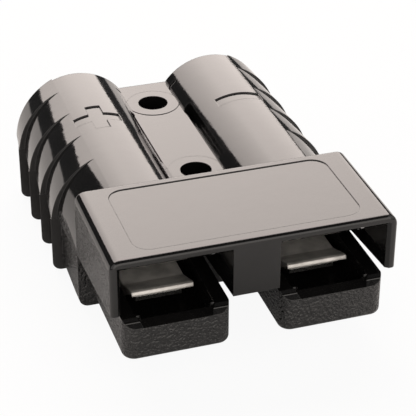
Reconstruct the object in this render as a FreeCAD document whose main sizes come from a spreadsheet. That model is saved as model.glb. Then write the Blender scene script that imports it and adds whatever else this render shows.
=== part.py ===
import FreeCAD, Part
import Sketcher
import os

# Two-pole genderless power connector: one moulded housing, two contacts and two leaf springs.
# Inside each body +X is across the poles, +Y runs from the mating face to the cable end, and +Z is up.
# There y = 0 is the hood's front edge and z = 0 is the plane that the housing rests on.
# Every body then gets the same placement, which puts the middle of the connector's length at y = 0.

DRIVING_DIMENSIONS = [
    # the whole connector
    ("overall_length", 47.8), ("overall_width", 36.5), ("overall_height", 15.9), ("pole_pitch", 19.0),
    # hood over the mating bays
    ("hood_width", 34.1), ("hood_depth", 16.3), ("hood_wall", 1.22), ("hood_roof", 1.25),
    ("hood_corner_radius", 1.35), ("hood_edge_radius", 0.5), ("hood_lip_chamfer", 0.4),
    ("hood_rear_wall", 0.8), ("wall_lift", 8.8), ("post_width", 5.6),
    # lower half of the housing
    ("mated_depth", 15.7), ("parting_height", 7.5), ("bulkhead_thickness", 2.0),
    ("base_corner_radius", 1.2),
    # trays that carry the blades
    ("tray_proud", 0.36), ("tray_post_gap", 0.2), ("tray_wall_gap", 0.13), ("tray_roof_gap", 1.4),
    ("tray_rim_gap", 0.1), ("tray_side_wall", 1.65), ("tray_front_wall", 1.3),
    ("tray_corner_radius", 1.5), ("tray_edge_radius", 0.65), ("tray_bevel_height", 0.9),
    ("tray_bevel_run", 1.1), ("tray_scoop_depth", 0.45), ("tray_scoop_inset", 2.3),
    ("tray_scoop_flare", 0.6), ("tray_cavity_radius", 0.7),
    # cable tubes
    ("tube_radius", 7.75), ("tube_rim_chamfer", 0.35), ("entry_diameter", 10.4), ("entry_depth", 9.5),
    ("entry_chamfer", 0.6),
    # finger ribs on the outer sides of the tubes
    ("rib_count", 4), ("rib_pitch", 6.25), ("rib_front", 24.6), ("rib_tip_angle", 22),
    ("rib_crest_radius", 9.2), ("rib_root_radius", 9.1), ("rib_parting_step", 0.12),
    ("upper_rib_height", 0.75), ("lower_rib_height", 1.4),
    # web between the tubes and its mounting holes
    ("web_thickness", 8.9), ("web_width", 6.8), ("hole_diameter", 3.9), ("hole_spacing", 19.0),
    ("rear_hole_inset", 5.75), ("boss_diameter", 7.0), ("boss_rise", 0.06), ("groove_width", 0.75),
    ("groove_depth", 1.1), ("groove_front_gap", 1.4), ("groove_rear_gap", 3.2), ("notch_length", 0.5),
    # label recess and polarity marks
    ("label_inset_side", 3.5), ("label_inset_front", 1.6), ("label_inset_rear", 1.2),
    ("label_corner_radius", 2.0), ("label_depth", 0.1),
    ("mark_size", 6.0), ("mark_stroke", 1.95), ("mark_place", 34.1), ("mark_depth", 0.18),
    # contacts
    ("blade_width", 7.4), ("blade_thickness", 1.5), ("blade_drop", 1.45), ("nose_drop", 0.1),
    ("tip_setback", 5.3), ("nose_flat", 0.6), ("nose_run", 3.5), ("tip_thickness", 0.45),
    ("tip_slant", 0.18), ("barrel_diameter", 8.0), ("barrel_bore", 5.6),
    ("barrel_length", 12.6), ("bore_depth", 11.0), ("neck_length", 5.0),
    # clearances of the passages in the housing
    ("barrel_clearance", 0.1), ("blade_clearance", 0.15), ("nose_clearance", 0.25),
    ("neck_clearance", 0.15), ("spring_clearance", 0.1),
    # leaf springs
    ("spring_width", 5.6), ("spring_thickness", 0.5), ("spring_anchor", 4.0), ("spring_run", 6.0),
    ("spring_room", 1.15), ("spring_tip_setback", 1.8), ("spring_play", 0.02),
]

# Lengths that several features share, worked out from the driving dimensions.
MIDDLE = "(Sizes.overall_height / 2)"
POLE = "(Sizes.pole_pitch / 2)"
HOOD_SIDE = "(Sizes.hood_width / 2)"
BAY_SIDE = "(Sizes.hood_width / 2 - Sizes.hood_wall)"
BAY_TOP = "(Sizes.overall_height - Sizes.hood_roof)"
BAY_BACK = "(Sizes.hood_depth - Sizes.hood_rear_wall)"
POST_SIDE = "(Sizes.post_width / 2)"
REAR = "(Sizes.overall_length - Sizes.tray_proud)"
TRAY_INNER = f"({POST_SIDE} + Sizes.tray_post_gap)"
TRAY_OUTER = f"({BAY_SIDE} - Sizes.tray_wall_gap)"
TRAY_BOTTOM = "(Sizes.hood_roof + Sizes.tray_roof_gap)"
TRAY_RIM = f"({MIDDLE} - Sizes.tray_rim_gap)"
BLADE_SIDE = "(Sizes.blade_width / 2)"
BLADE_TOP = f"({MIDDLE} - Sizes.blade_drop)"
BLADE_BOTTOM = f"({BLADE_TOP} - Sizes.blade_thickness)"
TRAY_FLOOR = f"({BLADE_BOTTOM} - Sizes.spring_room)"
NOSE_TOP = f"({MIDDLE} - Sizes.nose_drop)"
TIP = "Sizes.tip_setback"
BARREL_REAR = f"({REAR} - Sizes.entry_depth)"
BARREL_FRONT = f"({BARREL_REAR} - Sizes.barrel_length)"
NECK_FRONT = f"({BARREL_FRONT} - Sizes.neck_length)"
SPRING_REAR = "(Sizes.mated_depth + Sizes.spring_anchor)"
RIB_TIP_X = f"({POLE} + Sizes.tube_radius * sin(Sizes.rib_tip_angle))"
RIB_TIP_Z = f"({MIDDLE} + Sizes.tube_radius * cos(Sizes.rib_tip_angle))"
LOWER_CREST = "(Sizes.overall_width / 2)"
LOWER_ROOT = f"({LOWER_CREST} - Sizes.lower_rib_height)"
UPPER_CREST = f"({LOWER_CREST} - Sizes.rib_parting_step)"
UPPER_ROOT = f"({UPPER_CREST} - Sizes.upper_rib_height)"
WEB_HALF = "(Sizes.web_thickness / 2)"
WEB_TOP = f"({MIDDLE} + {WEB_HALF})"
WEB_BOTTOM = f"({MIDDLE} - {WEB_HALF})"
REAR_HOLE = f"({REAR} - Sizes.rear_hole_inset)"
FRONT_HOLE = f"({REAR_HOLE} - Sizes.hole_spacing)"

LEFT = "-1"
RIGHT = "1"
CONVEX = 1
CONCAVE = -1

doc = FreeCAD.newDocument("PowerConnector")
sheet = doc.addObject("Spreadsheet::Sheet", "Sizes")
for row, (alias, number) in enumerate(DRIVING_DIMENSIONS, start=1):
    sheet.set(f"A{row}", alias)
    sheet.set(f"B{row}", str(number))
    sheet.setAlias(f"B{row}", alias)
doc.recompute()


def value(expression):
    """The number that an expression over the sheet gives."""
    return float(sheet.evalExpression(expression))


def origin_feature(body, role):
    """One of the body's own origin planes or axes."""
    return next(feature for feature in body.Origin.OriginFeatures if feature.Role == role)


def add_body(name):
    body = doc.addObject("PartDesign::Body", name)
    body.Label = name
    body.setExpression("Placement.Base.y", "Sizes.tray_proud - Sizes.overall_length / 2")
    return body


def add_sketch(body, name, plane, place="0"):
    """A sketch on an origin plane of the body, moved to a place on the axis across that plane."""
    sketch = body.newObject("Sketcher::SketchObject", name)
    sketch.AttachmentSupport = [(origin_feature(body, plane), "")]
    sketch.MapMode = "FlatFace"
    # The normal of the XZ plane points along -Y, so a place along +Y changes its sign there.
    sign = "-1" if plane == "XZ_Plane" else "1"
    sketch.setExpression("AttachmentOffset.Base.z", f"{sign} * {place}")
    return sketch


def bind(sketch, constraint, expression):
    sketch.setExpression(f"Constraints[{sketch.addConstraint(constraint)}]", expression)


def pin(sketch, geometry, end, x, y):
    """Fixes a point of a geometry at two expressions."""
    bind(sketch, Sketcher.Constraint("DistanceX", -1, 1, geometry, end, value(x)), x)
    bind(sketch, Sketcher.Constraint("DistanceY", -1, 1, geometry, end, value(y)), y)


def arc_from(start, end, radius, side):
    """The shorter arc from start to end, bulging to the left (1) or the right (-1) of that way."""
    chord = end - start
    normal = FreeCAD.Vector(-chord.y, chord.x, 0).normalize()
    sagitta = radius - max(radius ** 2 - (chord.Length / 2) ** 2, 0) ** 0.5
    crown = (start + end) * 0.5 + normal * (side * sagitta)
    return Part.Arc(start, crown, end)


def add_outline(sketch, corners, side=RIGHT):
    """A closed outline through corners of (x, y), or (x, y, radius, bulge) where an arc follows.

    On the left side every x changes its sign.
    """
    placed = [(f"{side} * {corner[0]}", corner[1]) for corner in corners]
    points = [FreeCAD.Vector(value(x), value(y), 0) for x, y in placed]
    pairs = list(zip(points, points[1:] + points[:1]))
    turn = 1 if sum(a.x * b.y - b.x * a.y for a, b in pairs) > 0 else -1
    previous = None
    first = None
    for corner, (x, y), (start, end) in zip(corners, placed, pairs):
        if len(corner) == 2:
            geometry = sketch.addGeometry(Part.LineSegment(start, end), False)
        else:
            arc = arc_from(start, end, value(corner[2]), -turn * corner[3])
            geometry = sketch.addGeometry(arc, False)
            bind(sketch, Sketcher.Constraint("Radius", geometry, value(corner[2])), corner[2])
        # A sketch keeps every arc counter-clockwise, so its ends may have changed places.
        begins = 1 if sketch.getPoint(geometry, 1).distanceToPoint(start) < 1e-6 else 2
        pin(sketch, geometry, begins, x, y)
        if previous is None:
            first = (geometry, begins)
        else:
            sketch.addConstraint(Sketcher.Constraint("Coincident", *previous, geometry, begins))
        previous = (geometry, 3 - begins)
    sketch.addConstraint(Sketcher.Constraint("Coincident", *previous, *first))


def add_circle(sketch, x, y, radius):
    circle = Part.Circle(FreeCAD.Vector(value(x), value(y), 0), FreeCAD.Vector(0, 0, 1), value(radius))
    geometry = sketch.addGeometry(circle, False)
    bind(sketch, Sketcher.Constraint("Radius", geometry, value(radius)), radius)
    pin(sketch, geometry, 3, x, y)


def rectangle(x_low, x_high, y_low, y_high):
    return [(x_low, y_low), (x_high, y_low), (x_high, y_high), (x_low, y_high)]


def add_extrusion(body, kind, name, sketch, length, reverse=False, symmetric=False):
    """A pad or a pocket of one sketch. The recompute shows a failed feature at once."""
    feature = body.newObject(f"PartDesign::{kind}", name)
    feature.Profile = sketch
    feature.setExpression("Length", length)
    feature.Reversed = reverse
    if symmetric:
        feature.SideType = "Symmetric"
    doc.recompute()
    return feature


def pad_rearwards(body, name, sketch, length):
    return add_extrusion(body, "Pad", name, sketch, length, reverse=True)


def cut_rearwards(body, name, sketch, length):
    return add_extrusion(body, "Pocket", name, sketch, length)


def cut_across(body, name, sketch):
    """A cut of a side profile through the whole width."""
    return add_extrusion(body, "Pocket", name, sketch, "2 * Sizes.overall_width", symmetric=True)


def add_loft(body, kind, name, front, rear):
    loft = body.newObject(f"PartDesign::{kind}", name)
    loft.Profile = front
    loft.Sections = [rear]
    loft.Ruled = True
    doc.recompute()
    return loft


def dress_edges(body, kind, name, size_property, size, chosen):
    """A fillet or chamfer on the edges of the body's last feature that chosen picks."""
    base = body.Tip
    names = [f"Edge{i}" for i, edge in enumerate(base.Shape.Edges, start=1) if chosen(edge)]
    feature = body.newObject(f"PartDesign::{kind}", name)
    feature.Base = (base, names)
    feature.setExpression(size_property, size)
    doc.recompute()
    return feature


def all_ends(edge, test):
    return all(test(vertex.Point) for vertex in edge.Vertexes)


# Housing: the block of the lower half that meets the mate's hood, and the tubes with their web.

def add_bulkhead(body):
    sketch = add_sketch(body, "bulkhead_outline", "XZ_Plane", "Sizes.mated_depth")
    radius = "Sizes.base_corner_radius"
    add_outline(sketch, [
        (f"({HOOD_SIDE} - {radius})", "0", radius, CONVEX),
        (HOOD_SIDE, radius),
        (HOOD_SIDE, "Sizes.parting_height"),
        (f"-{HOOD_SIDE}", "Sizes.parting_height"),
        (f"-{HOOD_SIDE}", radius, radius, CONVEX),
        (f"-({HOOD_SIDE} - {radius})", "0"),
    ])
    pad_rearwards(body, "bulkhead", sketch, "Sizes.bulkhead_thickness")


def add_tubes(body):
    """Both tubes and the web: round inwards and above, square below, and cut back under the ribs."""
    sketch = add_sketch(body, "tubes_outline", "XZ_Plane", "Sizes.mated_depth")
    radius = "Sizes.base_corner_radius"
    web_bottom_end = f"({POLE} - sqrt({MIDDLE}^2 - {WEB_HALF}^2))"
    web_top_end = f"({POLE} - sqrt(Sizes.tube_radius^2 - {WEB_HALF}^2))"
    add_outline(sketch, [
        (web_bottom_end, WEB_BOTTOM, MIDDLE, CONVEX),
        (POLE, "0"),
        (f"({LOWER_ROOT} - {radius})", "0", radius, CONVEX),
        (LOWER_ROOT, radius),
        (LOWER_ROOT, "Sizes.parting_height"),
        (HOOD_SIDE, "Sizes.parting_height", "Sizes.rib_root_radius", CONVEX),
        (RIB_TIP_X, RIB_TIP_Z, "Sizes.tube_radius", CONVEX),
        (web_top_end, WEB_TOP),
        (f"-{web_top_end}", WEB_TOP, "Sizes.tube_radius", CONVEX),
        (f"-{RIB_TIP_X}", RIB_TIP_Z, "Sizes.rib_root_radius", CONVEX),
        (f"-{HOOD_SIDE}", "Sizes.parting_height"),
        (f"-{LOWER_ROOT}", "Sizes.parting_height"),
        (f"-{LOWER_ROOT}", radius, radius, CONVEX),
        (f"-({LOWER_ROOT} - {radius})", "0"),
        (f"-{POLE}", "0", MIDDLE, CONVEX),
        (f"-{web_bottom_end}", WEB_BOTTOM),
    ])
    pad_rearwards(body, "tubes", sketch, f"{REAR} - Sizes.mated_depth")
    rear = value(REAR)
    tip = value(RIB_TIP_X)
    web_top = value(WEB_TOP)

    def on_crown_rim(edge):
        def on_crown(point):
            return abs(point.y - rear) < 0.01 and abs(point.x) < tip + 0.01 and point.z > web_top - 0.01
        return edge.Curve.TypeId == "Part::GeomCircle" and all_ends(edge, on_crown)

    dress_edges(body, "Chamfer", "tube_rims", "Size", "Sizes.tube_rim_chamfer", on_crown_rim)


def upper_rib_section(body, name, place, side, crest, radius):
    """The rib above the parting line: an arc from its tip on the tube down to the crest."""
    sketch = add_sketch(body, name, "XZ_Plane", place)
    add_outline(sketch, [
        (RIB_TIP_X, "Sizes.parting_height"),
        (crest, "Sizes.parting_height", radius, CONVEX),
        (RIB_TIP_X, RIB_TIP_Z),
    ], side)
    return sketch


def lower_section(body, name, place, side, crest):
    """The rib or flank below the parting line: upright, with the base's rounded corner."""
    sketch = add_sketch(body, name, "XZ_Plane", place)
    radius = "Sizes.base_corner_radius"
    add_outline(sketch, [
        (RIB_TIP_X, "0"),
        (f"({crest} - {radius})", "0", radius, CONVEX),
        (crest, radius),
        (crest, "Sizes.parting_height"),
        (RIB_TIP_X, "Sizes.parting_height"),
    ], side)
    return sketch


def add_ribs(body):
    """Finger ribs: each drops steeply at its front and runs back down to the tube behind it."""
    front = "Sizes.rib_front"
    rear = "(Sizes.rib_front + Sizes.rib_pitch)"
    ribs = []
    for label, side in (("left", LEFT), ("right", RIGHT)):
        upper_front = upper_rib_section(body, f"{label}_upper_crest", front, side, UPPER_CREST,
                                        "Sizes.rib_crest_radius")
        upper_rear = upper_rib_section(body, f"{label}_upper_root", rear, side, UPPER_ROOT,
                                       "Sizes.rib_root_radius")
        ribs.append(add_loft(body, "AdditiveLoft", f"{label}_upper_rib", upper_front, upper_rear))
        lower_front = lower_section(body, f"{label}_lower_crest", front, side, LOWER_CREST)
        lower_rear = lower_section(body, f"{label}_lower_root", rear, side, LOWER_ROOT)
        ribs.append(add_loft(body, "AdditiveLoft", f"{label}_lower_rib", lower_front, lower_rear))
    pattern = body.newObject("PartDesign::LinearPattern", "ribs")
    pattern.Originals = ribs
    pattern.Direction = (origin_feature(body, "Y_Axis"), [""])
    pattern.setExpression("Length", "Sizes.rib_pitch * (Sizes.rib_count - 1)")
    pattern.setExpression("Occurrences", "Sizes.rib_count")
    body.Tip = pattern
    doc.recompute()


def add_flanks(body):
    """The smooth sides between the hood or the bulkhead and the front rib."""
    behind_bulkhead = "(Sizes.mated_depth + Sizes.bulkhead_thickness)"
    rib = "Sizes.rib_front"
    radius = "Sizes.rib_root_radius"
    for label, side in (("left", LEFT), ("right", RIGHT)):
        lower_front = lower_section(body, f"{label}_lower_flank_front", behind_bulkhead, side, HOOD_SIDE)
        lower_rear = lower_section(body, f"{label}_lower_flank_rear", rib, side, LOWER_ROOT)
        add_loft(body, "AdditiveLoft", f"{label}_lower_flank", lower_front, lower_rear)
        upper_front = upper_rib_section(body, f"{label}_upper_flank_front", "Sizes.hood_depth", side,
                                        HOOD_SIDE, radius)
        upper_rear = upper_rib_section(body, f"{label}_upper_flank_rear", rib, side, UPPER_ROOT, radius)
        add_loft(body, "AdditiveLoft", f"{label}_upper_flank", upper_front, upper_rear)


def trim_rear(body):
    """The rear rib would reach past the tubes' ends, so all behind them is cut off."""
    sketch = add_sketch(body, "rear_trim", "XZ_Plane", REAR)
    add_outline(sketch, rectangle("-Sizes.overall_width", "Sizes.overall_width",
                                  "-Sizes.overall_height", "2 * Sizes.overall_height"))
    cut_rearwards(body, "rear_end", sketch, "2 * Sizes.rib_pitch")


# Housing: the mating end, with the hood over two bays and a tray under each.

def add_hood(body):
    """The hood's block, with its front and rear edges rounded."""
    sketch = add_sketch(body, "hood_outline", "XZ_Plane")
    radius = "Sizes.hood_corner_radius"
    shoulder = f"(Sizes.overall_height - {radius})"
    add_outline(sketch, [
        (HOOD_SIDE, "Sizes.parting_height"),
        (HOOD_SIDE, shoulder, radius, CONVEX),
        (f"({HOOD_SIDE} - {radius})", "Sizes.overall_height"),
        (f"-({HOOD_SIDE} - {radius})", "Sizes.overall_height", radius, CONVEX),
        (f"-{HOOD_SIDE}", shoulder),
        (f"-{HOOD_SIDE}", "Sizes.parting_height"),
    ])
    pad_rearwards(body, "hood", sketch, "Sizes.hood_depth")
    rear = value("Sizes.hood_depth")
    parting = value("Sizes.parting_height")

    def on_end(edge):
        at_bottom = all_ends(edge, lambda p: abs(p.z - parting) < 0.01)
        at_front = all_ends(edge, lambda p: abs(p.y) < 0.01)
        at_rear = all_ends(edge, lambda p: abs(p.y - rear) < 0.01)
        return (at_front or at_rear) and not at_bottom

    dress_edges(body, "Fillet", "hood_edges", "Radius", "Sizes.hood_edge_radius", on_end)


def open_bays(body):
    """The bays under the roof, with broken edges round their mouths, and the slant below the walls.

    The slant lets the walls and the post run level with the mate's.
    """
    bays = add_sketch(body, "bays_outline", "XZ_Plane")
    for side in (LEFT, RIGHT):
        add_outline(bays, rectangle(POST_SIDE, BAY_SIDE, "Sizes.parting_height", BAY_TOP), side)
    cut_rearwards(body, "bays", bays, BAY_BACK)
    slant = add_sketch(body, "wall_edge_slant", "YZ_Plane")
    add_outline(slant, [
        ("0", "0"),
        ("Sizes.mated_depth", "0"),
        ("Sizes.mated_depth", "Sizes.parting_height"),
        ("0", "Sizes.wall_lift"),
    ])
    cut_across(body, "wall_edges", slant)
    bay_top = value(BAY_TOP)
    bay_side = value(BAY_SIDE)

    def on_mouth(edge):
        at_roof = all_ends(edge, lambda p: abs(p.y) < 0.01 and abs(p.z - bay_top) < 0.01)
        at_wall = all_ends(edge, lambda p: abs(p.y) < 0.01 and abs(abs(p.x) - bay_side) < 0.01)
        return at_roof or at_wall

    dress_edges(body, "Chamfer", "bay_lips", "Size", "Sizes.hood_lip_chamfer", on_mouth)


def add_trays(body):
    front = "-Sizes.tray_proud"
    radius = "Sizes.tray_corner_radius"
    plan = add_sketch(body, "trays_plan", "XY_Plane", TRAY_BOTTOM)
    for side in (LEFT, RIGHT):
        add_outline(plan, [
            (f"({TRAY_INNER} + {radius})", front),
            (f"({TRAY_OUTER} - {radius})", front, radius, CONVEX),
            (TRAY_OUTER, f"({front} + {radius})"),
            (TRAY_OUTER, "Sizes.mated_depth"),
            (TRAY_INNER, "Sizes.mated_depth"),
            (TRAY_INNER, f"({front} + {radius})", radius, CONVEX),
        ], side)
    add_extrusion(body, "Pad", "trays", plan, f"{TRAY_RIM} - {TRAY_BOTTOM}")
    bottom = value(TRAY_BOTTOM)
    back = value("Sizes.mated_depth")

    def on_tray_bottom(edge):
        at_bottom = all_ends(edge, lambda p: abs(p.z - bottom) < 0.01)
        return at_bottom and not all_ends(edge, lambda p: abs(p.y - back) < 0.01)

    dress_edges(body, "Fillet", "tray_edges", "Radius", "Sizes.tray_edge_radius", on_tray_bottom)


def hollow_trays(body):
    """The cavity under each blade, the bevelled front and the scoop in the front wall."""
    front = "-Sizes.tray_proud"
    radius = "Sizes.tray_cavity_radius"
    inner = f"({TRAY_INNER} + Sizes.tray_side_wall)"
    outer = f"({TRAY_OUTER} - Sizes.tray_side_wall)"
    wall_back = f"({front} + Sizes.tray_front_wall)"
    plan = add_sketch(body, "tray_cavities_plan", "XY_Plane", TRAY_RIM)
    for side in (LEFT, RIGHT):
        add_outline(plan, [
            (f"({inner} + {radius})", wall_back),
            (f"({outer} - {radius})", wall_back, radius, CONVEX),
            (outer, f"({wall_back} + {radius})"),
            (outer, "Sizes.mated_depth"),
            (inner, "Sizes.mated_depth"),
            (inner, f"({wall_back} + {radius})", radius, CONVEX),
        ], side)
    add_extrusion(body, "Pocket", "tray_cavities", plan, f"{TRAY_RIM} - {TRAY_FLOOR}")
    bevel = add_sketch(body, "tray_bevel_profile", "YZ_Plane")
    bevel_foot = f"({TRAY_RIM} - Sizes.tray_bevel_height)"
    add_outline(bevel, [
        (front, bevel_foot),
        (f"({front} + Sizes.tray_bevel_run)", TRAY_RIM),
        (front, TRAY_RIM),
    ])
    cut_across(body, "tray_bevels", bevel)
    cut_scoops(body, front, bevel_foot, wall_back)


def cut_scoops(body, front, bevel_foot, wall_back):
    """The dip in the middle of each front wall, from the bevel's foot up to the cavity."""
    low_inner = f"({TRAY_INNER} + Sizes.tray_scoop_inset)"
    low_outer = f"({TRAY_OUTER} - Sizes.tray_scoop_inset)"
    back_foot = f"({TRAY_RIM} - Sizes.tray_scoop_depth)"
    for label, side in (("left", LEFT), ("right", RIGHT)):
        sections = []
        for end, place, foot in (("front", f"({front})", bevel_foot), ("back", wall_back, back_foot)):
            section = add_sketch(body, f"{label}_scoop_{end}", "XZ_Plane", place)
            add_outline(section, [
                (low_inner, foot),
                (low_outer, foot),
                (f"({low_outer} + Sizes.tray_scoop_flare)", TRAY_RIM),
                (f"({low_inner} - Sizes.tray_scoop_flare)", TRAY_RIM),
            ], side)
            sections.append(section)
        add_loft(body, "SubtractiveLoft", f"{label}_scoop", *sections)


# Housing: the passages that the contacts and springs are pushed into from the cable end.

def cut_from_rear(body, name, radius, length):
    sketch = add_sketch(body, f"{name}_outline", "XZ_Plane", REAR)
    for side in (LEFT, RIGHT):
        add_circle(sketch, f"{side} * {POLE}", MIDDLE, radius)
    return add_extrusion(body, "Pocket", name, sketch, length, reverse=True)


def cut_slots(body, name, half_width, bottom, top, length):
    """Slots from the blades' tips rearwards, so that nothing below the bays is in a blade's way."""
    sketch = add_sketch(body, f"{name}_outline", "XZ_Plane", TIP)
    for side in (LEFT, RIGHT):
        add_outline(sketch, rectangle(f"({POLE} - {half_width})", f"({POLE} + {half_width})",
                                      bottom, top), side)
    return cut_rearwards(body, name, sketch, length)


def add_passages(body):
    cut_from_rear(body, "cable_entries", "Sizes.entry_diameter / 2", "Sizes.entry_depth")
    rear = value(REAR)
    dress_edges(body, "Chamfer", "entry_lips", "Size", "Sizes.entry_chamfer",
                lambda edge: edge.Closed and all_ends(edge, lambda p: abs(p.y - rear) < 0.01))
    bore_length = f"{REAR} - {NECK_FRONT} + Sizes.neck_clearance"
    cut_from_rear(body, "barrel_bores", "(Sizes.barrel_diameter / 2 + Sizes.barrel_clearance)",
                  bore_length)
    cut_slots(body, "blade_keyways", f"({BLADE_SIDE} + Sizes.blade_clearance)",
              f"({BLADE_BOTTOM} - Sizes.blade_clearance)", f"({NOSE_TOP} + Sizes.nose_clearance)",
              f"{BARREL_REAR} - {TIP}")
    cut_slots(body, "spring_slots", "(Sizes.spring_width / 2 + Sizes.spring_clearance)", TRAY_FLOOR,
              BLADE_BOTTOM, f"{SPRING_REAR} + Sizes.spring_clearance - {TIP}")


# Housing: the web's grooves, bosses and mounting holes, the label recess and the polarity marks.

def cut_from_above(body, name, outlines, foot):
    """Pockets that reach from above the housing down to one height."""
    plan = add_sketch(body, f"{name}_plan", "XY_Plane", "Sizes.overall_height")
    for outline, side in outlines:
        add_outline(plan, outline, side)
    add_extrusion(body, "Pocket", name, plan, f"Sizes.overall_height - {foot}")


def add_web_details(body):
    web_side = "(Sizes.web_width / 2)"
    groove_side = f"({web_side} + Sizes.groove_width)"
    rear_end = f"({REAR_HOLE} + Sizes.groove_rear_gap)"
    flat = rectangle(f"-{web_side}", web_side, "Sizes.hood_depth", f"({REAR} + Sizes.boss_rise)")
    groove = rectangle(web_side, groove_side, f"({FRONT_HOLE} + Sizes.groove_front_gap)",
                       f"({REAR_HOLE} - Sizes.groove_rear_gap)")
    notch = rectangle(web_side, groove_side, rear_end, f"({rear_end} + Sizes.notch_length)")
    cut_from_above(body, "web_flat", [(flat, RIGHT)], WEB_TOP)
    cut_from_above(body, "web_grooves",
                   [(outline, side) for outline in (groove, notch) for side in (LEFT, RIGHT)],
                   f"({WEB_TOP} - Sizes.groove_depth)")
    bosses = add_sketch(body, "bosses_plan", "XY_Plane", f"({WEB_TOP} - Sizes.groove_depth)")
    holes = add_sketch(body, "holes_plan", "XY_Plane", "Sizes.overall_height")
    for place in (FRONT_HOLE, REAR_HOLE):
        add_circle(bosses, "0", place, "Sizes.boss_diameter / 2")
        add_circle(holes, "0", place, "Sizes.hole_diameter / 2")
    add_extrusion(body, "Pad", "hole_bosses", bosses, "Sizes.groove_depth + Sizes.boss_rise")
    add_extrusion(body, "Pocket", "mounting_holes", holes, "Sizes.overall_height")


def add_label_recess(body):
    side = f"({HOOD_SIDE} - Sizes.label_inset_side)"
    radius = "Sizes.label_corner_radius"
    front = "Sizes.label_inset_front"
    rear = "(Sizes.hood_depth - Sizes.label_inset_rear)"
    plan = add_sketch(body, "label_plan", "XY_Plane", "Sizes.overall_height")
    add_outline(plan, [
        (f"-({side} - {radius})", front),
        (f"({side} - {radius})", front, radius, CONVEX),
        (side, f"({front} + {radius})"),
        (side, f"({rear} - {radius})", radius, CONVEX),
        (f"({side} - {radius})", rear),
        (f"-({side} - {radius})", rear, radius, CONVEX),
        (f"-{side}", f"({rear} - {radius})"),
        (f"-{side}", f"({front} + {radius})", radius, CONVEX),
    ])
    add_extrusion(body, "Pocket", "label_recess", plan, "Sizes.label_depth")


def groove_mark(body, name, side, length_along, length_round):
    """A recess of even depth in a tube's crown, turned about the tube's axis."""
    sketch = add_sketch(body, f"{name}_profile", "YZ_Plane", f"{side} * {POLE}")
    axis = sketch.addGeometry(Part.LineSegment(FreeCAD.Vector(0, value(MIDDLE), 0),
                                               FreeCAD.Vector(value(REAR), value(MIDDLE), 0)), True)
    pin(sketch, axis, 1, "0", MIDDLE)
    pin(sketch, axis, 2, REAR, MIDDLE)
    crown = f"({MIDDLE} + Sizes.tube_radius)"
    add_outline(sketch, rectangle(f"(Sizes.mark_place - {length_along} / 2)",
                                  f"(Sizes.mark_place + {length_along} / 2)",
                                  f"({crown} - Sizes.mark_depth)", f"({crown} + Sizes.mark_depth)"))
    groove = body.newObject("PartDesign::Groove", name)
    groove.Profile = sketch
    groove.ReferenceAxis = (sketch, ["Axis0"])
    groove.Midplane = True
    groove.setExpression("Angle", f"2 * asin({length_round} / 2 / Sizes.tube_radius)")
    doc.recompute()


def add_polarity_marks(body):
    groove_mark(body, "plus_bar", LEFT, "Sizes.mark_stroke", "Sizes.mark_size")
    groove_mark(body, "plus_stem", LEFT, "Sizes.mark_size", "Sizes.mark_stroke")
    groove_mark(body, "minus_bar", RIGHT, "Sizes.mark_stroke", "Sizes.mark_size")


def build_housing():
    body = add_body("housing")
    add_hood(body)
    add_bulkhead(body)
    add_tubes(body)
    add_ribs(body)
    add_flanks(body)
    trim_rear(body)
    open_bays(body)
    add_trays(body)
    hollow_trays(body)
    add_passages(body)
    add_web_details(body)
    add_label_recess(body)
    add_polarity_marks(body)
    return body


# Contacts: a crimp barrel, flattened at its front into a blade that rises to a nose.

def build_contact(name, side):
    body = add_body(name)
    across = f"{side} * {POLE}"
    profile = add_sketch(body, "blade_profile", "YZ_Plane", across)
    nose_rear = f"({TIP} + Sizes.nose_flat)"
    ridge = f"({nose_rear} + Sizes.nose_run)"
    add_outline(profile, [
        (BARREL_FRONT, BLADE_BOTTOM),
        (BARREL_FRONT, BLADE_TOP),
        (ridge, BLADE_TOP),
        (nose_rear, NOSE_TOP),
        (f"({TIP} + Sizes.tip_slant)", NOSE_TOP),
        (TIP, f"({NOSE_TOP} - Sizes.tip_thickness)"),
        (nose_rear, f"({NOSE_TOP} - Sizes.tip_thickness)"),
        (ridge, BLADE_BOTTOM),
    ])
    add_extrusion(body, "Pad", "blade", profile, "Sizes.blade_width", symmetric=True)
    barrel = add_sketch(body, "barrel_outline", "XZ_Plane", NECK_FRONT)
    radius = "(Sizes.barrel_diameter / 2)"
    add_circle(barrel, across, MIDDLE, radius)
    pad_rearwards(body, "barrel", barrel, "Sizes.neck_length + Sizes.barrel_length")
    for label, edge, sign in (("top", BLADE_TOP, "+"), ("bottom", BLADE_BOTTOM, "-")):
        far = f"({MIDDLE} {sign} {radius})"
        flat = add_sketch(body, f"{label}_flat_profile", "YZ_Plane")
        add_outline(flat, [(NECK_FRONT, edge), (NECK_FRONT, far), (BARREL_FRONT, far)])
        cut_across(body, f"{label}_flat", flat)
    bore = add_sketch(body, "wire_bore_outline", "XZ_Plane", BARREL_REAR)
    add_circle(bore, across, MIDDLE, "Sizes.barrel_bore / 2")
    add_extrusion(body, "Pocket", "wire_bore", bore, "Sizes.bore_depth", reverse=True)
    return body


# Leaf springs: flat in the housing's slot, then curved up to the ridge where the blade's nose begins.

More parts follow.
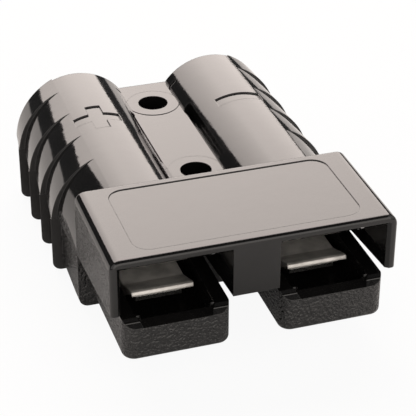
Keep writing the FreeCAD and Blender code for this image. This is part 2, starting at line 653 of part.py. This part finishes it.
def build_spring(name, side):
    body = add_body(name)
    profile = add_sketch(body, "leaf_profile", "YZ_Plane", f"{side} * {POLE}")
    rear = SPRING_REAR
    tip = f"({TIP} + Sizes.spring_tip_setback)"
    bend = f"({tip} + Sizes.spring_run)"
    ridge_run = f"({bend} - {TIP} - Sizes.nose_flat - Sizes.nose_run)"
    ridge_rise = "(Sizes.spring_room - Sizes.spring_thickness - Sizes.spring_play)"
    inner_radius = f"(({ridge_run}^2 + {ridge_rise}^2) / (2 * {ridge_rise}))"
    radius = f"({inner_radius} + Sizes.spring_thickness)"
    centre = f"({TRAY_FLOOR} + {radius})"
    tip_top = f"({centre} - sqrt({inner_radius}^2 - Sizes.spring_run^2))"
    tip_bottom = f"({centre} - sqrt({radius}^2 - Sizes.spring_run^2))"
    top = f"({TRAY_FLOOR} + Sizes.spring_thickness)"
    add_outline(profile, [
        (rear, TRAY_FLOOR),
        (rear, top),
        (bend, top, inner_radius, CONCAVE),
        (tip, tip_top),
        (tip, tip_bottom, radius, CONVEX),
        (bend, TRAY_FLOOR),
    ])
    add_extrusion(body, "Pad", "leaf", profile, "Sizes.spring_width", symmetric=True)
    return body


bodies = [
    build_housing(),
    build_contact("positive_contact", LEFT),
    build_contact("negative_contact", RIGHT),
    build_spring("positive_spring", LEFT),
    build_spring("negative_spring", RIGHT),
]
doc.recompute()

for item in doc.Objects:
    if "Invalid" in item.State or "Error" in item.State:
        raise RuntimeError(f"{item.Name} failed: {item.State}")
for body in bodies:
    if body.Shape.isNull() or not body.Shape.isValid() or len(body.Shape.Solids) != 1:
        raise RuntimeError(f"{body.Label} has no sound solid")

os.makedirs("parts", exist_ok=True)
for body in bodies:
    body.Shape.exportStep(os.path.join("parts", f"{body.Label}.step"))
    box = body.Shape.BoundBox
    print(body.Label, round(body.Shape.Volume, 2), [round(number, 3) for number in
          (box.XMin, box.YMin, box.ZMin, box.XMax, box.YMax, box.ZMax)])
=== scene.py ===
import math

import bpy
from mathutils import Euler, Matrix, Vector

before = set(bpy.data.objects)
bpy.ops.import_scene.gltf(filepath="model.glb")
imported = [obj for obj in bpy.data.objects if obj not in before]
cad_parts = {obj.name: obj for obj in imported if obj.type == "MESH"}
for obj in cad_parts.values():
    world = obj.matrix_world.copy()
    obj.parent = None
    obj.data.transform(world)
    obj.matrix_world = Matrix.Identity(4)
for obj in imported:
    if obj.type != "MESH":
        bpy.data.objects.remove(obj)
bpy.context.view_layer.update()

# Lengths are in metres unless a name ends in _MM. Angles are in degrees unless a name ends in _RAD.
MM = 0.001

# Camera: the photograph's viewpoint, aim and lens.
CAMERA_PLACE_MM = (-50.325, -159.618, 107.199)
CAMERA_YAW_RAD = 0.316
CAMERA_PITCH_RAD = -0.542
CAMERA_ROLL_RAD = 0.003
CAMERA_LENS_MM = 133.8
CAMERA_SENSOR_MM = 36

# Soft boxes: name, azimuth, elevation, width, height, radiance, colour, spread.
# Azimuth 0 lies along +Y and 90 along +X. A spread under 180 dims a box towards its edges.
SOFT_BOX_DISTANCE = 0.6
SOFT_BOXES = (
    ("back_soft_box", 8, 36, 0.71, 0.56, 2.3, (1.0, 0.9, 0.845), 120),
    ("front_soft_box", 180, 22, 1.0, 0.48, 1.75, (1.0, 0.94, 0.88), 180),
    ("left_soft_box", -110, 30, 0.7, 0.5, 0.9, (1.0, 0.95, 0.91), 180),
    ("right_soft_box", 110, 30, 0.7, 0.5, 0.9, (1.0, 0.95, 0.91), 180),
)
ROOM_STRENGTH = 0.07

# Floor: how much of it is plain white to the camera and in reflections.
FLOOR_HALF = 1.5
FLOOR_DROP_MM = 0.02
FLOOR_COLOUR = (0.86, 0.86, 0.86, 1)
FLOOR_WHITE_TO_CAMERA = 0.93
FLOOR_WHITE_IN_MIRROR = 0.06

# Sizes of the housing that its finish follows.
PARTING_HEIGHT_MM = 7.5
HOOD_SIDE_MM = 17.05
RIB_ROOT_MM = 16.85
RIB_RISE_MM = 0.2
RIBS_BEGIN_MM = 0.9
CREST_START_MM = 12.6
CAVITY_CENTRE_MM = 9.4
CAVITY_HALF_MM = 5.2
CAVITY_FRONT_MM = -22.75
CAVITY_REAR_MM = 23.8
BLEND_MM = 0.1

# How much a face faces along an axis where a finish begins, and where it is complete. 1 is square on.
HOOD_SIDE_FACING = (0.97, 0.995)
STEEP_FACING = (0.5, 0.3)
RIB_FRONT_FACING = (-0.8, -0.9)
PEBBLE_FACING = (0.3, 0.9)

# Finish of the plastic. Pairs give the least and the most.
TINT = (0.004, 0.007)
TINT_GREEN = 0.96
TINT_BLUE = 0.96
# Painted shade in the pebbles' pits: between these heights of the pebble noise the tint rises to its
# lighter value on the pebbles' tops.
PAINTED_PEBBLE_SHADING_HEIGHTS = (0.5, 0.7)
PAINTED_PEBBLE_SHADING_TINT = (0.0, 0.006)
# Painted sheen: a lighter tint added to the ribs' lower steps and their front faces.
PAINTED_SHEEN_TINT = 0.014
POLISHED_ROUGHNESS = (0.05, 0.09)
MATT_ROUGHNESS = (0.18, 0.28)
SATIN_ROUGHNESS = 0.42
PLASTIC_IOR = 1.52
PLASTIC_EDGE_MM = 0.14
WAVE_DEPTH_MM = 0.008
GRAIN_DEPTH_MM = 0.004
SEAM_DEPTH_MM = 0.04
SEAM_HALF_WIDTH_MM = (0.02, 0.08)
PEBBLES_PER_MM = 3.0
PEBBLE_DEPTH_MM = 0.62
PEBBLE_STRENGTH = (0.6, 1.0)

# Finish of the metals.
SILVER_METALLIC = 0.4
SILVER_RED = (0.52, 0.9)
SILVER_GREEN = 0.97
SILVER_BLUE = 0.92
TARNISH_NOISE = (0.35, 0.65)
SILVER_ROUGHNESS = (0.32, 0.5)
SILVER_LINE_STRETCH = (9.0, 0.35, 9.0)
SILVER_LINE_DEPTH_MM = 0.005
SILVER_EDGE_MM = 0.22
STEEL_COLOUR = (0.6, 0.6, 0.58, 1)
STEEL_ROUGHNESS = (0.22, 0.36)
STEEL_LINE_STRETCH = (12.0, 0.4, 12.0)
STEEL_EDGE_MM = 0.08

# Most of a noise's values lie between these two.
NOISE_SPAN = (0.3, 0.7)


def place(thing, location, rotation=(0, 0, 0)):
    thing.location = location
    thing.rotation_euler = rotation
    bpy.context.scene.collection.objects.link(thing)
    return thing


# Camera.

def add_camera():
    data = bpy.data.cameras.new("camera")
    data.sensor_width = CAMERA_SENSOR_MM
    data.lens = CAMERA_LENS_MM
    data.clip_start = 0.01
    data.clip_end = 10
    turn = Euler((0, 0, CAMERA_ROLL_RAD)).to_matrix()
    aim = Euler((math.pi / 2 + CAMERA_PITCH_RAD, 0, -CAMERA_YAW_RAD)).to_matrix() @ turn
    location = [length * MM for length in CAMERA_PLACE_MM]
    camera = bpy.data.objects.new("camera", data)
    bpy.context.scene.camera = place(camera, location, aim.to_euler())


# Light: a large warm soft box behind the connector, weaker ones on the other sides, and a dark room.

def add_soft_box(name, azimuth, elevation, width, height, radiance, colour, spread):
    """An area lamp that faces the origin."""
    data = bpy.data.lights.new(name, "AREA")
    data.shape = "RECTANGLE"
    data.size = width
    data.size_y = height
    data.energy = radiance * math.pi * width * height
    data.color = colour
    data.spread = math.radians(spread)
    turn = math.radians(azimuth)
    rise = math.radians(elevation)
    way = Vector((math.sin(turn) * math.cos(rise), math.cos(turn) * math.cos(rise), math.sin(rise)))
    lamp = bpy.data.objects.new(name, data)
    place(lamp, way * SOFT_BOX_DISTANCE, way.to_track_quat("Z", "Y").to_euler())


def light_scene():
    for soft_box in SOFT_BOXES:
        add_soft_box(*soft_box)
    world = bpy.data.worlds.new("room")
    world.use_nodes = True
    background = world.node_tree.nodes["Background"]
    background.inputs["Color"].default_value = (1, 1, 1, 1)
    background.inputs["Strength"].default_value = ROOM_STRENGTH
    bpy.context.scene.world = world


# Floor.

def floor_paint():
    """Pale paint, mixed with plain white for the camera and for reflections.

    The unmixed rest keeps the shadow.
    """
    material = new_material("floor")
    tree = material.node_tree
    pale = tree.nodes["Principled BSDF"]
    pale.inputs["Base Color"].default_value = FLOOR_COLOUR
    pale.inputs["Roughness"].default_value = 0.9
    pale.inputs["Specular IOR Level"].default_value = 0.1
    white = tree.nodes.new("ShaderNodeEmission")
    white.inputs["Strength"].default_value = 1.0
    rays = tree.nodes.new("ShaderNodeLightPath")
    mirrored = math_node(tree, "ADD", rays.outputs["Is Glossy Ray"], rays.outputs["Is Transmission Ray"])
    to_camera = math_node(tree, "MULTIPLY", rays.outputs["Is Camera Ray"], FLOOR_WHITE_TO_CAMERA)
    in_mirror = math_node(tree, "MULTIPLY", mirrored, FLOOR_WHITE_IN_MIRROR, clamp=True)
    mix = tree.nodes.new("ShaderNodeMixShader")
    tree.links.new(either(tree, to_camera, in_mirror), mix.inputs["Fac"])
    tree.links.new(pale.outputs["BSDF"], mix.inputs[1])
    tree.links.new(white.outputs["Emission"], mix.inputs[2])
    tree.links.new(mix.outputs["Shader"], tree.nodes["Material Output"].inputs["Surface"])
    return material


def add_floor():
    mesh = bpy.data.meshes.new("floor")
    half = FLOOR_HALF
    corners = [(-half, -half, 0), (half, -half, 0), (half, half, 0), (-half, half, 0)]
    mesh.from_pydata(corners, [], [(0, 1, 2, 3)])
    mesh.materials.append(floor_paint())
    floor = place(bpy.data.objects.new("floor", mesh), (0, 0, -FLOOR_DROP_MM * MM))


# Small helpers for node trees.

def new_material(name):
    material = bpy.data.materials.new(name)
    material.use_nodes = True
    return material


def feed(tree, socket, value):
    """Links an output to a socket, or sets the socket to a plain value."""
    if isinstance(value, bpy.types.NodeSocket):
        tree.links.new(value, socket)
    else:
        socket.default_value = value


def math_node(tree, operation, first, second=0.0, clamp=False):
    node = tree.nodes.new("ShaderNodeMath")
    node.operation = operation
    node.use_clamp = clamp
    feed(tree, node.inputs[0], first)
    feed(tree, node.inputs[1], second)
    return node.outputs["Value"]


def all_of(tree, first, *others):
    """The product of masks, 1 where all of them are 1."""
    for other in others:
        first = math_node(tree, "MULTIPLY", first, other)
    return first


def either(tree, first, second):
    """The greater of two masks."""
    return math_node(tree, "MAXIMUM", first, second)


def distance_from(tree, value, centre):
    return math_node(tree, "ABSOLUTE", math_node(tree, "SUBTRACT", value, centre))


def ramp(tree, value, low, high, to_low=0.0, to_high=1.0):
    """Maps low..high to to_low..to_high and holds the ends."""
    node = tree.nodes.new("ShaderNodeMapRange")
    feed(tree, node.inputs["Value"], value)
    feed(tree, node.inputs["From Min"], low)
    feed(tree, node.inputs["From Max"], high)
    feed(tree, node.inputs["To Min"], to_low)
    feed(tree, node.inputs["To Max"], to_high)
    return node.outputs["Result"]


def past(tree, value, limit, blend=BLEND_MM):
    """A mask that is 1 from the limit on and fades out over a blend before it."""
    return ramp(tree, value, limit - blend, limit)


def short_of(tree, value, limit, blend=BLEND_MM):
    """A mask that is 1 up to the limit and fades out over a blend after it."""
    return ramp(tree, value, limit + blend, limit)


def place_in_mm(tree, stretch=(1, 1, 1)):
    """The object's own coordinates in millimetres, stretched per axis."""
    coordinates = tree.nodes.new("ShaderNodeTexCoord")
    scale = tree.nodes.new("ShaderNodeVectorMath")
    scale.operation = "MULTIPLY"
    tree.links.new(coordinates.outputs["Object"], scale.inputs[0])
    scale.inputs[1].default_value = [factor / MM for factor in stretch]
    return scale.outputs["Vector"]


def noise(tree, vector, scale, detail):
    """Noise whose features are about 1 / scale millimetres across."""
    node = tree.nodes.new("ShaderNodeTexNoise")
    tree.links.new(vector, node.inputs["Vector"])
    node.inputs["Scale"].default_value = scale
    node.inputs["Detail"].default_value = detail
    return node.outputs["Fac"]


def drift(tree, vector, scale, detail, span):
    """A value that wanders over the surface between the two of a span."""
    return ramp(tree, noise(tree, vector, scale, detail), *NOISE_SPAN, *span)


def shade(tree, red, green_share, blue_share):
    """A colour from its red, with green and blue as shares of it."""
    colour = tree.nodes.new("ShaderNodeCombineColor")
    tree.links.new(red, colour.inputs["Red"])
    tree.links.new(math_node(tree, "MULTIPLY", red, green_share), colour.inputs["Green"])
    tree.links.new(math_node(tree, "MULTIPLY", red, blue_share), colour.inputs["Blue"])
    return colour.outputs["Color"]


def axes_of(tree, vector):
    split = tree.nodes.new("ShaderNodeSeparateXYZ")
    tree.links.new(vector, split.inputs["Vector"])
    return split.outputs["X"], split.outputs["Y"], split.outputs["Z"]


def soft_edges(tree, radius_mm):
    """A normal that rounds sharp edges by a small radius."""
    node = tree.nodes.new("ShaderNodeBevel")
    node.samples = 8
    node.inputs["Radius"].default_value = radius_mm * MM
    return node.outputs["Normal"]


def bump(tree, height, depth_mm, normal, strength=1.0):
    """A bump whose height of 1 stands depth_mm out of the surface."""
    node = tree.nodes.new("ShaderNodeBump")
    node.inputs["Distance"].default_value = depth_mm * MM
    feed(tree, node.inputs["Strength"], strength)
    tree.links.new(height, node.inputs["Height"])
    tree.links.new(normal, node.inputs["Normal"])
    return node.outputs["Normal"]


# Housing: where each finish of its plastic lies, as masks from 0 to 1.

def facing_axes(tree):
    geometry = tree.nodes.new("ShaderNodeNewGeometry")
    return axes_of(tree, geometry.outputs["Normal"])


def hood_sides(tree, out, facing_x):
    """The upright outer sides of the hood."""
    upright = ramp(tree, math_node(tree, "ABSOLUTE", facing_x), *HOOD_SIDE_FACING)
    return all_of(tree, past(tree, out, HOOD_SIDE_MM - 0.02, blend=0.04), upright)


def rib_sides(tree, out, y):
    """What stands out beyond the tubes' flanks."""
    return all_of(tree, past(tree, out, RIB_ROOT_MM + RIB_RISE_MM), past(tree, y, RIBS_BEGIN_MM))


def rib_fronts(tree, out, y, facing_y):
    """The ribs' faces towards the mating end, from the tubes' crowns down."""
    facing_front = ramp(tree, facing_y, *RIB_FRONT_FACING)
    return all_of(tree, facing_front, past(tree, out, CREST_START_MM), past(tree, y, RIBS_BEGIN_MM))


def insides(tree, out, y):
    """The insides of the trays and cable entries."""
    within_walls = short_of(tree, distance_from(tree, out, CAVITY_CENTRE_MM), CAVITY_HALF_MM)
    behind_front = past(tree, y, CAVITY_FRONT_MM)
    before_rear = short_of(tree, y, CAVITY_REAR_MM, blend=0.05)
    return all_of(tree, within_walls, behind_front, before_rear)


# Materials.

def housing_plastic():
    """Black moulded plastic, polished above its parting line.

    The upright faces below that line and the hood's sides are pebbled, with painted shade that
    leaves the pebbles' pits darker than their tops. The ribs' lower steps and their fronts are
    satin, with a painted sheen that tints them lighter. The insides of the trays and cable entries
    are plain.
    """
    material = new_material("housing_plastic")
    tree = material.node_tree
    plastic = tree.nodes["Principled BSDF"]
    here = place_in_mm(tree)
    x, y, z = axes_of(tree, here)
    out = math_node(tree, "ABSOLUTE", x)
    facing_x, facing_y, facing_z = facing_axes(tree)

    below_parting = short_of(tree, z, PARTING_HEIGHT_MM - BLEND_MM / 2)
    matt = either(tree, below_parting, hood_sides(tree, out, facing_x))
    ribs = rib_sides(tree, out, y)
    satin_and_painted_sheen = either(tree, all_of(tree, ribs, below_parting), rib_fronts(tree, out, y, facing_y))
    plain = either(tree, ribs, insides(tree, out, y))
    steep = ramp(tree, math_node(tree, "ABSOLUTE", facing_z), *STEEP_FACING)
    pebbled = all_of(tree, matt, steep, math_node(tree, "SUBTRACT", 1.0, plain))
    pebble_height = noise(tree, here, PEBBLES_PER_MM, detail=1.0)

    # Painted shade: the pebbles' tops are tinted lighter than their pits.
    painted_pebble_shading = all_of(tree, pebbled, ramp(tree, pebble_height, *PAINTED_PEBBLE_SHADING_HEIGHTS, *PAINTED_PEBBLE_SHADING_TINT))
    tint = math_node(tree, "ADD", drift(tree, here, scale=0.25, detail=3.0, span=TINT), painted_pebble_shading)
    # Painted sheen: the ribs' lower steps and front faces are tinted lighter. The same mask also sets
    # their satin roughness.
    tint = math_node(tree, "ADD", tint, math_node(tree, "MULTIPLY", satin_and_painted_sheen, PAINTED_SHEEN_TINT))
    tree.links.new(shade(tree, tint, TINT_GREEN, TINT_BLUE), plastic.inputs["Base Color"])

    polished_roughness = drift(tree, here, scale=0.6, detail=4.0, span=POLISHED_ROUGHNESS)
    matt_roughness = drift(tree, here, scale=1.5, detail=3.0, span=MATT_ROUGHNESS)
    roughness = ramp(tree, matt, 0.0, 1.0, polished_roughness, matt_roughness)
    roughness = ramp(tree, satin_and_painted_sheen, 0.0, 1.0, roughness, SATIN_ROUGHNESS)
    tree.links.new(roughness, plastic.inputs["Roughness"])
    plastic.inputs["IOR"].default_value = PLASTIC_IOR

    edges = soft_edges(tree, PLASTIC_EDGE_MM)
    waves = bump(tree, noise(tree, here, scale=0.45, detail=1.0), WAVE_DEPTH_MM, edges)
    grain = bump(tree, noise(tree, here, scale=3.0, detail=2.0), GRAIN_DEPTH_MM, waves)
    from_seam = distance_from(tree, z, PARTING_HEIGHT_MM)
    seam_core, seam_edge = SEAM_HALF_WIDTH_MM
    seam = bump(tree, ramp(tree, from_seam, seam_edge, seam_core), SEAM_DEPTH_MM, grain)
    sideways = ramp(tree, math_node(tree, "ABSOLUTE", facing_x), *PEBBLE_FACING, *PEBBLE_STRENGTH)
    pebbles = bump(tree, pebble_height, PEBBLE_DEPTH_MM, seam, all_of(tree, pebbled, sideways))
    tree.links.new(pebbles, plastic.inputs["Normal"])
    return material


def silver_plate():
    """Silver-plated copper: bright, with uneven tarnish and faint rolling lines along the contact."""
    material = new_material("silver_plate")
    tree = material.node_tree
    metal = tree.nodes["Principled BSDF"]
    metal.inputs["Metallic"].default_value = SILVER_METALLIC
    tarnish = noise(tree, place_in_mm(tree), scale=0.35, detail=3.0)
    red = ramp(tree, tarnish, *TARNISH_NOISE, *SILVER_RED)
    tree.links.new(shade(tree, red, SILVER_GREEN, SILVER_BLUE), metal.inputs["Base Color"])
    lines = noise(tree, place_in_mm(tree, SILVER_LINE_STRETCH), scale=1.0, detail=3.0)
    roughness = ramp(tree, lines, *NOISE_SPAN, *SILVER_ROUGHNESS)
    tree.links.new(roughness, metal.inputs["Roughness"])
    edges = soft_edges(tree, SILVER_EDGE_MM)
    tree.links.new(bump(tree, lines, SILVER_LINE_DEPTH_MM, edges), metal.inputs["Normal"])
    return material


def spring_steel():
    """Bright rolled strip."""
    material = new_material("spring_steel")
    tree = material.node_tree
    metal = tree.nodes["Principled BSDF"]
    metal.inputs["Metallic"].default_value = 1.0
    metal.inputs["Base Color"].default_value = STEEL_COLOUR
    along = place_in_mm(tree, STEEL_LINE_STRETCH)
    roughness = drift(tree, along, scale=1.0, detail=2.0, span=STEEL_ROUGHNESS)
    tree.links.new(roughness, metal.inputs["Roughness"])
    tree.links.new(soft_edges(tree, STEEL_EDGE_MM), metal.inputs["Normal"])
    return material


def dress(name, material):
    """Gives a CAD node its material."""
    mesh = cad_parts[name].data
    if not mesh.materials:
        mesh.materials.append(material)
    for index in range(len(mesh.materials)):
        mesh.materials[index] = material


def dress_nodes():
    dress("housing", housing_plastic())
    plate = silver_plate()
    steel = spring_steel()
    for pole in ("positive", "negative"):
        dress(f"{pole}_contact", plate)
        dress(f"{pole}_spring", steel)


add_camera()
light_scene()
add_floor()
dress_nodes()
bpy.context.scene.view_settings.view_transform = "Standard"
